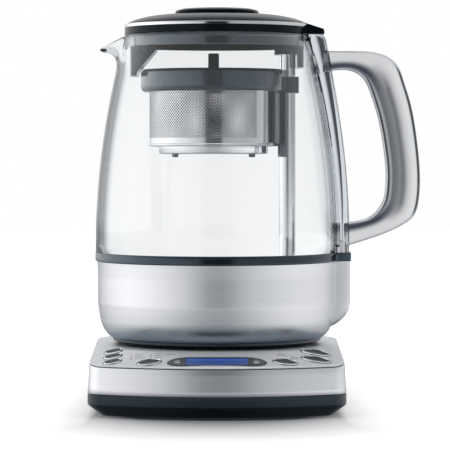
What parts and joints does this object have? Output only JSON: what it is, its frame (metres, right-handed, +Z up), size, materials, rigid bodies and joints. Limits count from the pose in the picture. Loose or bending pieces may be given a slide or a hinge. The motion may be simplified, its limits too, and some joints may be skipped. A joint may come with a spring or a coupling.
{
  "type": "automatic tea maker",
  "caption": "Glass tea jug with a steel foot, clear handle, motor-driven tea basket and lid, on a heated control base with keys and a blue display.",
  "frame": {"origin": "on the surface the base stands on, under the middle of the whole object's box", "axes": "+Z up, -Y towards the control panel's front, +X towards the jug's handle"},
  "size_m": [0.2224, 0.185, 0.2705],
  "materials": {
    "brushed_steel": "horizontally brushed",
    "bright_steel": "polished",
    "key_chrome": "polished",
    "key_dark": "dark metallic",
    "black_plastic": "glossy",
    "charcoal_plastic": "glossy",
    "slate_plastic": "satin",
    "white_plastic": "matte",
    "clear_glass": "clear",
    "clear_plastic": "clear",
    "display_blue": "backlit",
    "rubber": "matte",
    "seal": "satin",
    "circuit_board": "lacquered",
    "brass": "bright",
    "magnet": "dull",
    "led_red": "translucent",
    "steel_plate": "ground"
  },
  "bodies": {
    "base": {"base_tray": "black_plastic", "base_band": "brushed_steel", "base_top_panel": "brushed_steel", "base_feet": "rubber", "base_screws": "steel_plate", "connector_hub": "charcoal_plastic", "connector_contacts": "brass", "display_bezel": "key_dark", "display_window": "display_blue", "display_module": "circuit_board", "control_board": "circuit_board", "key_switches": "black_plastic", "status_leds": "led_red", "power_board": "circuit_board", "power_relay": "charcoal_plastic", "transformer": "steel_plate", "cord_gland": "rubber", "button_surrounds": "key_chrome"},
    "swivel": {"swivel_ring": "white_plastic"},
    "jug": {"jug_foot": "black_plastic", "jug_shell": "brushed_steel", "jug_band": "charcoal_plastic", "glass_jug": "clear_glass", "floor_seal": "seal", "heater_plate": "steel_plate", "heating_element": "steel_plate", "temperature_sensor": "steel_plate", "connector_socket": "charcoal_plastic", "handle": "clear_plastic", "handle_spine": "clear_plastic", "spine_screws": "steel_plate", "post_tube": "bright_steel", "drive_bracket": "charcoal_plastic", "lift_motor": "steel_plate"},
    "pinion": {"motor_pinion": "white_plastic"},
    "screw": {"lift_screw": "steel_plate"},
    "nut": {"lift_nut": "white_plastic", "nut_magnets": "magnet"},
    "carriage": {"carriage": "slate_plastic", "carriage_magnets": "magnet", "basket_ring": "slate_plastic", "basket_mesh": "bright_steel", "basket_floor": "bright_steel"},
    "basket_lid": {"basket_lid": "charcoal_plastic"},
    "lid": {"lid_cover": "charcoal_plastic", "lid_trim_ring": "bright_steel", "lid_knob": "black_plastic", "lid_seal": "seal", "lid_skirt": "slate_plastic", "lid_filter_mesh": "bright_steel"},
    "clock_key": {"button_clock": "key_chrome"},
    "timer_key": {"button_timer": "key_chrome"},
    "auto_start_key": {"button_auto_start": "key_chrome"},
    "mode_key": {"button_mode": "key_dark"},
    "minus_key": {"button_minus": "key_chrome"},
    "plus_key": {"button_plus": "key_chrome"},
    "menu_key": {"button_menu": "key_dark"},
    "brew_key": {"button_brew": "key_dark"},
    "heat_key": {"button_heat": "key_dark"}
  },
  "joints": [
    {"name": "jug_turn", "type": "hinge", "parent": "base", "child": "swivel", "pos_m": [-0.0263, 0.0075, 0.044], "axis": [0, 0, 1], "continuous": true},
    {"name": "jug_lift", "type": "slide", "parent": "swivel", "child": "jug", "axis": [0, 0, 1], "range_m": [0, 0.06]},
    {"name": "lid_lift", "type": "slide", "parent": "jug", "child": "lid", "axis": [0, 0, 1], "range_m": [0, 0.06]},
    {"name": "basket_travel", "type": "slide", "parent": "jug", "child": "carriage", "axis": [0, 0, 1], "range_m": [-0.056, 0]},
    {"name": "nut_travel", "type": "slide", "parent": "jug", "child": "nut", "axis": [0, 0, 1], "range_m": [-0.057, 0.001]},
    {"name": "screw_turn", "type": "hinge", "parent": "jug", "child": "screw", "pos_m": [0.0215, 0.0075, 0.09], "axis": [0, 0, 1], "range_deg": [-20, 1700]},
    {"name": "motor_turn", "type": "hinge", "parent": "jug", "child": "pinion", "pos_m": [0.00785, 0.0075, 0.09], "axis": [0, 0, 1], "range_deg": [-3380, 20]},
    {"name": "basket_lid_lift", "type": "slide", "parent": "carriage", "child": "basket_lid", "axis": [0, 0, 1], "range_m": [0, 0.008]},
    {"name": "clock_press", "type": "slide", "parent": "base", "child": "clock_key", "axis": [0, 0, -1], "range_m": [0, 0.001], "stiffness_N_per_m": 500, "springref_m": -0.0004},
    {"name": "timer_press", "type": "slide", "parent": "base", "child": "timer_key", "axis": [0, 0, -1], "range_m": [0, 0.001], "stiffness_N_per_m": 500, "springref_m": -0.0004},
    {"name": "auto_start_press", "type": "slide", "parent": "base", "child": "auto_start_key", "axis": [0, 0, -1], "range_m": [0, 0.001], "stiffness_N_per_m": 500, "springref_m": -0.0004},
    {"name": "mode_press", "type": "slide", "parent": "base", "child": "mode_key", "axis": [0, 0, -1], "range_m": [0, 0.001], "stiffness_N_per_m": 500, "springref_m": -0.0004},
    {"name": "minus_press", "type": "slide", "parent": "base", "child": "minus_key", "axis": [0, 0, -1], "range_m": [0, 0.001], "stiffness_N_per_m": 500, "springref_m": -0.0004},
    {"name": "plus_press", "type": "slide", "parent": "base", "child": "plus_key", "axis": [0, 0, -1], "range_m": [0, 0.001], "stiffness_N_per_m": 500, "springref_m": -0.0004},
    {"name": "menu_press", "type": "slide", "parent": "base", "child": "menu_key", "axis": [0, 0, -1], "range_m": [0, 0.001], "stiffness_N_per_m": 500, "springref_m": -0.0004},
    {"name": "brew_press", "type": "slide", "parent": "base", "child": "brew_key", "axis": [0, 0, -1], "range_m": [0, 0.001], "stiffness_N_per_m": 500, "springref_m": -0.0004},
    {"name": "heat_press", "type": "slide", "parent": "base", "child": "heat_key", "axis": [0, 0, -1], "range_m": [0, 0.001], "stiffness_N_per_m": 500, "springref_m": -0.0004}
  ],
  "couplings": [
    {"joint": "nut_travel", "follows": "basket_travel", "ratio": 1},
    {"joint": "screw_turn", "follows": "basket_travel", "rad_per_m": -523.6},
    {"joint": "motor_turn", "follows": "basket_travel", "rad_per_m": 1047.2}
  ]
}
